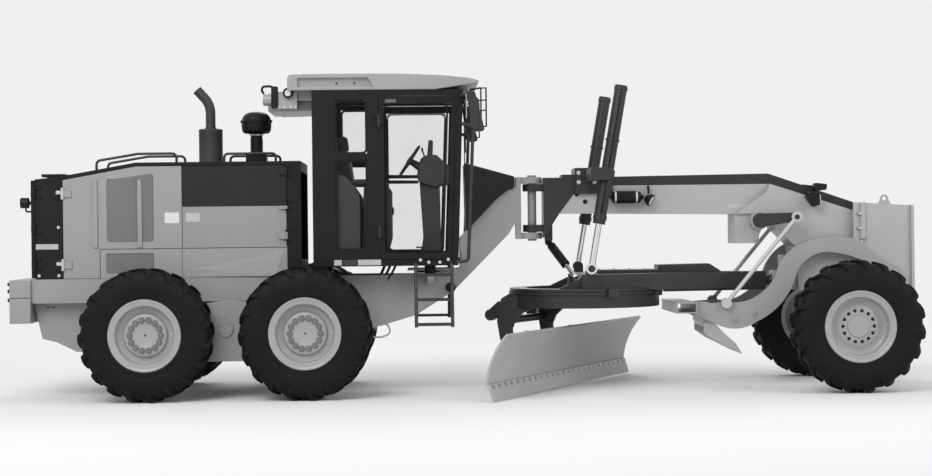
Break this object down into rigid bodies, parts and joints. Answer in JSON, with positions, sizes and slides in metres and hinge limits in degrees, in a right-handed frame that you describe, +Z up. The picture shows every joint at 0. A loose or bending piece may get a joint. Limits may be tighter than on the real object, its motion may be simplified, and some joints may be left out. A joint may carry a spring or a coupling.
{
  "type": "motor grader",
  "caption": "Articulated road grader with a long curved blade under a drawbar and circle, a scarifier behind the front axle, a rear engine hood and a black cab.",
  "frame": {"origin": "on the ground under the middle of the whole machine", "axes": "+X forward along the machine, +Y to its left, +Z up"},
  "size_m": [9.115, 3.3691, 3.196],
  "materials": {
    "tyre": "matte",
    "rim": "satin",
    "body_grey": "satin",
    "dark_grey": "satin",
    "black": "satin",
    "glass": "clear",
    "steel": "worn",
    "engine": "matte",
    "seat": "woven",
    "plastic": "matte"
  },
  "bodies": {
    "rear_chassis": {"rear_frame": "body_grey", "counterweight": "body_grey", "cooling_box": "black", "hood_frame": "black", "hood_lower_panels": "body_grey", "engine": "engine", "exhaust_stack": "black", "air_precleaner": "black", "cab_frame": "black", "cab_glass": "glass", "cab_roof": "black", "roof_boxes": "black", "operator_seat": "seat", "control_console": "plastic", "ladders_and_rails": "black", "neck_cowl": "dark_grey", "tandem_cases": "body_grey"},
    "wheel_rear_left": {"tyre_rear_left": "tyre", "rim_rear_left": "rim"},
    "wheel_rear_right": {"tyre_rear_right": "tyre", "rim_rear_right": "rim"},
    "wheel_middle_left": {"tyre_middle_left": "tyre", "rim_middle_left": "rim"},
    "wheel_middle_right": {"tyre_middle_right": "tyre", "rim_middle_right": "rim"},
    "front_chassis": {"front_frame": "body_grey", "front_casting": "dark_grey", "push_block": "body_grey", "beam_fittings": "body_grey", "front_axle": "body_grey"},
    "lean_bracket_left": {"lean_bracket_left": "body_grey"},
    "steering_knuckle_left": {"steering_knuckle_left": "body_grey"},
    "wheel_front_left": {"tyre_front_left": "tyre", "rim_front_left": "rim"},
    "lean_bracket_right": {"lean_bracket_right": "body_grey"},
    "steering_knuckle_right": {"steering_knuckle_right": "body_grey"},
    "wheel_front_right": {"tyre_front_right": "tyre", "rim_front_right": "rim"},
    "hood_door_rear_left": {"hood_door_rear_left": "body_grey"},
    "hood_door_rear_right": {"hood_door_rear_right": "body_grey"},
    "hood_door_front_left": {"hood_door_front_left": "body_grey"},
    "hood_door_front_right": {"hood_door_front_right": "body_grey"},
    "rear_grille_door": {"rear_grille_door": "black"},
    "cab_door_left": {"cab_door_left": "black", "cab_door_glass_left": "glass"},
    "cab_door_right": {"cab_door_right": "black", "cab_door_glass_right": "glass"},
    "drawbar": {"drawbar": "dark_grey"},
    "circle": {"circle": "dark_grey"},
    "blade_carrier": {"blade_carrier": "body_grey"},
    "moldboard": {"moldboard": "body_grey", "cutting_edge": "steel"},
    "lift_barrels": {"lift_barrels": "body_grey"},
    "lift_rods": {"lift_rods": "steel"},
    "shift_barrel": {"shift_barrel": "body_grey"},
    "shift_rod": {"shift_rod": "steel"},
    "scarifier": {"scarifier_frame": "body_grey", "scarifier_shanks": "steel"},
    "scarifier_crank": {"scarifier_crank": "body_grey"},
    "scarifier_links": {"scarifier_links": "body_grey"}
  },
  "joints": [
    {"name": "spin_rear_left", "type": "hinge", "parent": "rear_chassis", "child": "wheel_rear_left", "pos_m": [-3.1375, 1.04, 0.65], "axis": [0, 1, 0], "continuous": true},
    {"name": "spin_rear_right", "type": "hinge", "parent": "rear_chassis", "child": "wheel_rear_right", "pos_m": [-3.1375, -1.04, 0.65], "axis": [0, 1, 0], "continuous": true},
    {"name": "spin_middle_left", "type": "hinge", "parent": "rear_chassis", "child": "wheel_middle_left", "pos_m": [-1.5975, 1.04, 0.65], "axis": [0, 1, 0], "continuous": true},
    {"name": "spin_middle_right", "type": "hinge", "parent": "rear_chassis", "child": "wheel_middle_right", "pos_m": [-1.5975, -1.04, 0.65], "axis": [0, 1, 0], "continuous": true},
    {"name": "open_hood_rear_left", "type": "hinge", "parent": "rear_chassis", "child": "hood_door_rear_left", "pos_m": [-4.0265, 0.576, 1.685], "axis": [0, 0, 1], "range_deg": [0, 95]},
    {"name": "open_hood_front_left", "type": "hinge", "parent": "rear_chassis", "child": "hood_door_front_left", "pos_m": [-1.8055, 0.584, 1.92], "axis": [0, 0, -1], "range_deg": [0, 95]},
    {"name": "open_cab_door_left", "type": "hinge", "parent": "rear_chassis", "child": "cab_door_left", "pos_m": [-0.8735, 0.766, 2.17], "axis": [0, 0, 1], "range_deg": [0, 90]},
    {"name": "open_hood_rear_right", "type": "hinge", "parent": "rear_chassis", "child": "hood_door_rear_right", "pos_m": [-4.0265, -0.576, 1.685], "axis": [0, 0, -1], "range_deg": [0, 95]},
    {"name": "open_hood_front_right", "type": "hinge", "parent": "rear_chassis", "child": "hood_door_front_right", "pos_m": [-1.8055, -0.584, 1.92], "axis": [0, 0, 1], "range_deg": [0, 95]},
    {"name": "open_cab_door_right", "type": "hinge", "parent": "rear_chassis", "child": "cab_door_right", "pos_m": [-0.8735, -0.766, 2.17], "axis": [0, 0, -1], "range_deg": [0, 90]},
    {"name": "open_rear_grille", "type": "hinge", "parent": "rear_chassis", "child": "rear_grille_door", "pos_m": [-4.3035, -0.576, 1.7], "axis": [0, 0, 1], "range_deg": [0, 100]},
    {"name": "articulation", "type": "hinge", "parent": "rear_chassis", "child": "front_chassis", "pos_m": [0.6825, 0, 1.85], "axis": [0, 0, 1], "range_deg": [-20, 20]},
    {"name": "lean_left", "type": "hinge", "parent": "front_chassis", "child": "lean_bracket_left", "pos_m": [3.7925, 0.9, 0.5], "axis": [-1, 0, 0], "range_deg": [-18, 18]},
    {"name": "steer_left", "type": "hinge", "parent": "lean_bracket_left", "child": "steering_knuckle_left", "pos_m": [3.7925, 0.93, 0.7], "axis": [0, 0, 1], "range_deg": [-40, 40]},
    {"name": "spin_front_left", "type": "hinge", "parent": "steering_knuckle_left", "child": "wheel_front_left", "pos_m": [3.7925, 1.04, 0.65], "axis": [0, 1, 0], "continuous": true},
    {"name": "lean_right", "type": "hinge", "parent": "front_chassis", "child": "lean_bracket_right", "pos_m": [3.7925, -0.9, 0.5], "axis": [-1, 0, 0], "range_deg": [-18, 18]},
    {"name": "steer_right", "type": "hinge", "parent": "lean_bracket_right", "child": "steering_knuckle_right", "pos_m": [3.7925, -0.93, 0.7], "axis": [0, 0, 1], "range_deg": [-40, 40]},
    {"name": "spin_front_right", "type": "hinge", "parent": "steering_knuckle_right", "child": "wheel_front_right", "pos_m": [3.7925, -1.04, 0.65], "axis": [0, 1, 0], "continuous": true},
    {"name": "drawbar_lift", "type": "hinge", "parent": "front_chassis", "child": "drawbar", "pos_m": [3.1675, 0, 1.08], "axis": [0, 1, 0], "range_deg": [-3, 7]},
    {"name": "lift_barrels_swing", "type": "hinge", "parent": "front_chassis", "child": "lift_barrels", "pos_m": [1.3815, 0, 2.172], "axis": [0, 1, 0], "range_deg": [-2, 3]},
    {"name": "lift_rods_slide", "type": "slide", "parent": "lift_barrels", "child": "lift_rods", "axis": [0.1724, 0, 0.985], "range_m": [-0.12, 0.26]},
    {"name": "shift_barrel_swing", "type": "hinge", "parent": "front_chassis", "child": "shift_barrel", "pos_m": [0.8545, 0.06, 1.5], "axis": [-0.9645, -0.1405, 0.2237], "range_deg": [-12, 25]},
    {"name": "shift_rod_slide", "type": "slide", "parent": "shift_barrel", "child": "shift_rod", "axis": [0.3583, -0.7544, -0.55], "range_m": [-0.15, 0.08]},
    {"name": "circle_turn", "type": "hinge", "parent": "drawbar", "child": "circle", "pos_m": [1.2225, 0, 0.99], "axis": [0, 0, -1], "range_deg": [-72, 18]},
    {"name": "blade_tilt", "type": "hinge", "parent": "circle", "child": "blade_carrier", "pos_m": [0.83937, 0.19522, 0.3], "axis": [0.454, 0.891, 0], "range_deg": [-5, 40]},
    {"name": "blade_side_shift", "type": "slide", "parent": "blade_carrier", "child": "moldboard", "axis": [0.454, 0.891, 0], "range_m": [-0.32, 0.5]},
    {"name": "scarifier_lower", "type": "hinge", "parent": "front_chassis", "child": "scarifier", "pos_m": [4.3325, 0, 1.15], "axis": [0, -1, 0], "range_deg": [0, 12]},
    {"name": "scarifier_crank_swing", "type": "hinge", "parent": "front_chassis", "child": "scarifier_crank", "pos_m": [2.9745, 0, 1.697], "axis": [0, 1, 0], "range_deg": [0, 41]},
    {"name": "scarifier_links_swing", "type": "hinge", "parent": "scarifier_crank", "child": "scarifier_links", "pos_m": [3.3375, 0, 1.728], "axis": [0, 1, 0], "range_deg": [-51, 1]}
  ],
  "couplings": [
    {"joint": "lift_barrels_swing", "follows": "drawbar_lift", "ratio": 0.09015},
    {"joint": "lift_rods_slide", "follows": "drawbar_lift", "m_per_rad": 1.9535},
    {"joint": "shift_barrel_swing", "follows": "drawbar_lift", "ratio": 3.243},
    {"joint": "shift_rod_slide", "follows": "drawbar_lift", "m_per_rad": -0.85543},
    {"joint": "scarifier_crank_swing", "follows": "scarifier_lower", "ratio": 3.3328},
    {"joint": "scarifier_links_swing", "follows": "scarifier_lower", "ratio": -4.0811},
    {"joint": "lean_right", "follows": "lean_left", "ratio": 1},
    {"joint": "steer_right", "follows": "steer_left", "ratio": 1}
  ]
}
